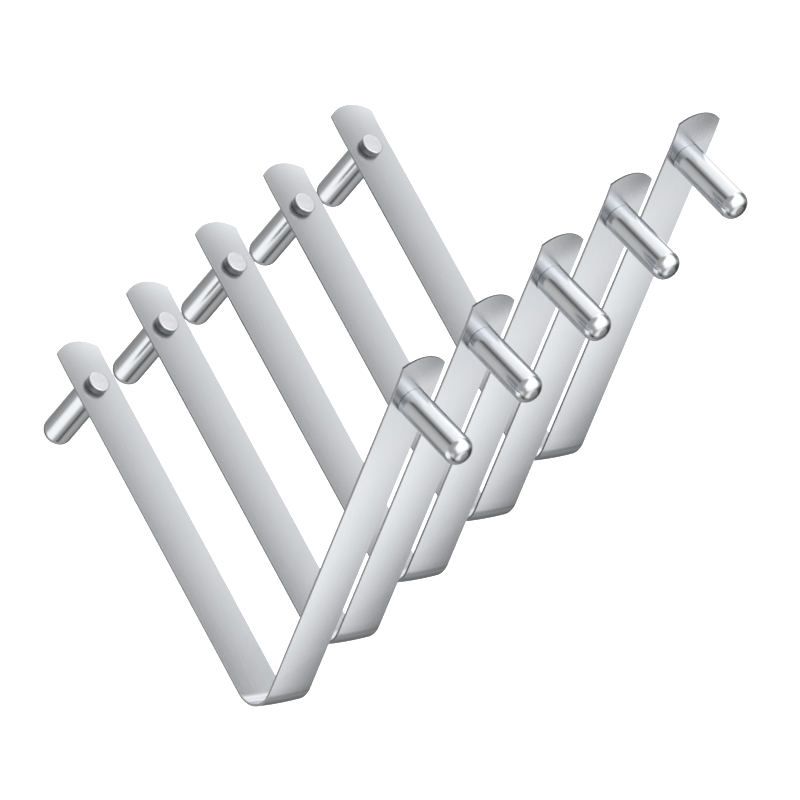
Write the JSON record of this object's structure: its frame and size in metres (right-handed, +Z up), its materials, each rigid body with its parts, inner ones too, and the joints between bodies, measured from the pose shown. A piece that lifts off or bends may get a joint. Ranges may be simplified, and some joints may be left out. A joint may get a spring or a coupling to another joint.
{
  "type": "double-button spring clip set",
  "caption": "Row of V-shaped spring clips, each a bent steel strip with a round locking button riveted through the end of each leg.",
  "frame": {"origin": "lowest outside point of the front clip's bend, at the middle of the strip's width", "axes": "+Z up between the legs of each clip, +X from the left button to the right button, +Y from the front clip to the back one"},
  "size_m": [0.1212, 0.084, 0.1049],
  "materials": {
    "spring_strip": "satin",
    "polished_button": "polished"
  },
  "bodies": {
    "clip_1_base": {"clip_1_bend": "spring_strip"},
    "clip_1_left": {"clip_1_left_leg": "spring_strip", "clip_1_left_button": "polished_button"},
    "clip_1_right": {"clip_1_right_leg": "spring_strip", "clip_1_right_button": "polished_button"},
    "clip_2_base": {"clip_2_bend": "spring_strip"},
    "clip_2_left": {"clip_2_left_leg": "spring_strip", "clip_2_left_button": "polished_button"},
    "clip_2_right": {"clip_2_right_leg": "spring_strip", "clip_2_right_button": "polished_button"},
    "clip_3_base": {"clip_3_bend": "spring_strip"},
    "clip_3_left": {"clip_3_left_leg": "spring_strip", "clip_3_left_button": "polished_button"},
    "clip_3_right": {"clip_3_right_leg": "spring_strip", "clip_3_right_button": "polished_button"},
    "clip_4_base": {"clip_4_bend": "spring_strip"},
    "clip_4_left": {"clip_4_left_leg": "spring_strip", "clip_4_left_button": "polished_button"},
    "clip_4_right": {"clip_4_right_leg": "spring_strip", "clip_4_right_button": "polished_button"},
    "clip_5_base": {"clip_5_bend": "spring_strip"},
    "clip_5_left": {"clip_5_left_leg": "spring_strip", "clip_5_left_button": "polished_button"},
    "clip_5_right": {"clip_5_right_leg": "spring_strip", "clip_5_right_button": "polished_button"}
  },
  "joints": [
    {"name": "clip_1_left_flex", "type": "hinge", "parent": "clip_1_base", "child": "clip_1_left", "pos_m": [0, 0, 0.00025], "axis": [0, -1, 0], "range_deg": [-35, 0]},
    {"name": "clip_1_squeeze", "type": "hinge", "parent": "clip_1_left", "child": "clip_1_right", "pos_m": [0, 0, 0.00025], "axis": [0, -1, 0], "range_deg": [0, 70], "stiffness_Nm_per_rad": 0.4},
    {"name": "clip_2_lift", "type": "slide", "parent": "clip_1_base", "child": "clip_2_base", "axis": [0, 0, 1], "range_m": [0, 0.12]},
    {"name": "clip_2_left_flex", "type": "hinge", "parent": "clip_2_base", "child": "clip_2_left", "pos_m": [0, 0.0184, 0.00955], "axis": [0, -1, 0], "range_deg": [-35, 0]},
    {"name": "clip_2_squeeze", "type": "hinge", "parent": "clip_2_left", "child": "clip_2_right", "pos_m": [0, 0.0184, 0.00955], "axis": [0, -1, 0], "range_deg": [0, 70], "stiffness_Nm_per_rad": 0.4},
    {"name": "clip_3_lift", "type": "slide", "parent": "clip_1_base", "child": "clip_3_base", "axis": [0, 0, 1], "range_m": [0, 0.12]},
    {"name": "clip_3_left_flex", "type": "hinge", "parent": "clip_3_base", "child": "clip_3_left", "pos_m": [0, 0.0368, 0.01885], "axis": [0, -1, 0], "range_deg": [-35, 0]},
    {"name": "clip_3_squeeze", "type": "hinge", "parent": "clip_3_left", "child": "clip_3_right", "pos_m": [0, 0.0368, 0.01885], "axis": [0, -1, 0], "range_deg": [0, 70], "stiffness_Nm_per_rad": 0.4},
    {"name": "clip_4_lift", "type": "slide", "parent": "clip_1_base", "child": "clip_4_base", "axis": [0, 0, 1], "range_m": [0, 0.12]},
    {"name": "clip_4_left_flex", "type": "hinge", "parent": "clip_4_base", "child": "clip_4_left", "pos_m": [0, 0.0552, 0.02815], "axis": [0, -1, 0], "range_deg": [-35, 0]},
    {"name": "clip_4_squeeze", "type": "hinge", "parent": "clip_4_left", "child": "clip_4_right", "pos_m": [0, 0.0552, 0.02815], "axis": [0, -1, 0], "range_deg": [0, 70], "stiffness_Nm_per_rad": 0.4},
    {"name": "clip_5_lift", "type": "slide", "parent": "clip_1_base", "child": "clip_5_base", "axis": [0, 0, 1], "range_m": [0, 0.12]},
    {"name": "clip_5_left_flex", "type": "hinge", "parent": "clip_5_base", "child": "clip_5_left", "pos_m": [0, 0.0736, 0.03745], "axis": [0, -1, 0], "range_deg": [-35, 0]},
    {"name": "clip_5_squeeze", "type": "hinge", "parent": "clip_5_left", "child": "clip_5_right", "pos_m": [0, 0.0736, 0.03745], "axis": [0, -1, 0], "range_deg": [0, 70], "stiffness_Nm_per_rad": 0.4}
  ],
  "couplings": [
    {"joint": "clip_1_left_flex", "follows": "clip_1_squeeze", "ratio": -0.5},
    {"joint": "clip_2_left_flex", "follows": "clip_2_squeeze", "ratio": -0.5},
    {"joint": "clip_3_left_flex", "follows": "clip_3_squeeze", "ratio": -0.5},
    {"joint": "clip_4_left_flex", "follows": "clip_4_squeeze", "ratio": -0.5},
    {"joint": "clip_5_left_flex", "follows": "clip_5_squeeze", "ratio": -0.5}
  ]
}
